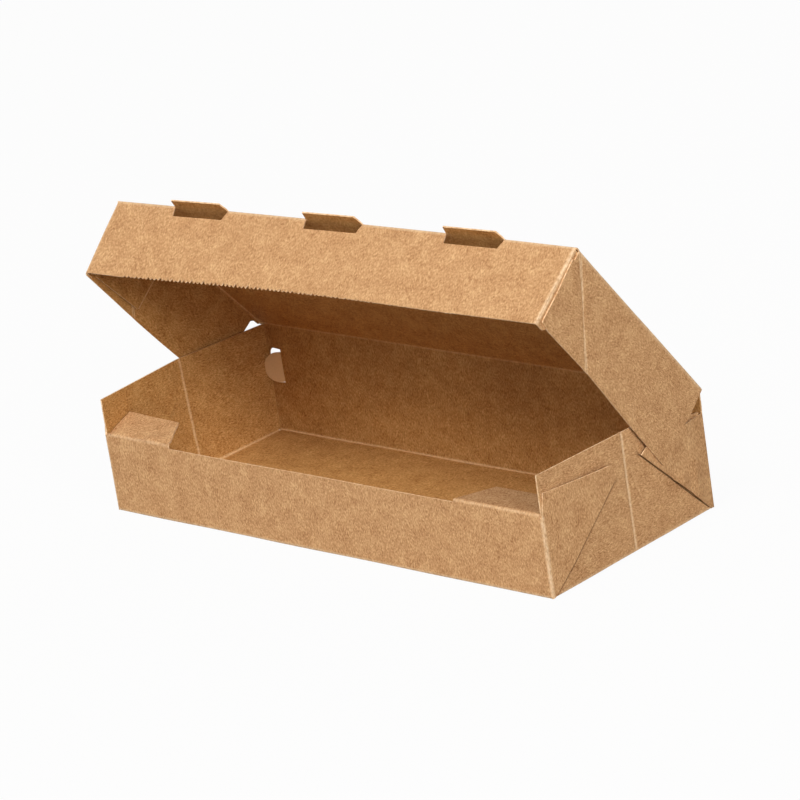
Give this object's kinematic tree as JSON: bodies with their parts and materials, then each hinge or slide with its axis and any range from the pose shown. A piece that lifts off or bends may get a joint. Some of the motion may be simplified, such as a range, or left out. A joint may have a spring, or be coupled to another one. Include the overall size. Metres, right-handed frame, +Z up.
{
  "type": "takeaway box",
  "caption": "Long low takeaway box folded from kraft board, with a hinged lid standing open, glued and locked corners and folded ledge tabs.",
  "frame": {"origin": "centre of the outside of the tray's bottom panel, on the surface that the box stands on", "axes": "+X along the box's length, +Y from its low front wall to the hinge at its rear, +Z up"},
  "size_m": [0.2028, 0.082, 0.1085],
  "materials": {
    "kraft_board": "unbleached kraft board, uncoated, matt"
  },
  "bodies": {
    "tray": {"tray": "kraft_board"},
    "lid": {"lid": "kraft_board"},
    "ledge_tab_left": {"ledge_tab_left": "kraft_board"},
    "ledge_tab_right": {"ledge_tab_right": "kraft_board"}
  },
  "joints": [
    {"name": "lid_hinge", "type": "hinge", "parent": "tray", "child": "lid", "pos_m": [0, 0.0405, 0.0414], "axis": [-1, 0, 0], "range_deg": [-50.8, 58]},
    {"name": "left_tab_fold", "type": "hinge", "parent": "tray", "child": "ledge_tab_left", "pos_m": [-0.0835, -0.0405, 0.0281], "axis": [1, 0, 0], "range_deg": [-60, 74.5]},
    {"name": "right_tab_fold", "type": "hinge", "parent": "tray", "child": "ledge_tab_right", "pos_m": [0.0805, -0.0405, 0.0281], "axis": [1, 0, 0], "range_deg": [-45, 89]}
  ]
}
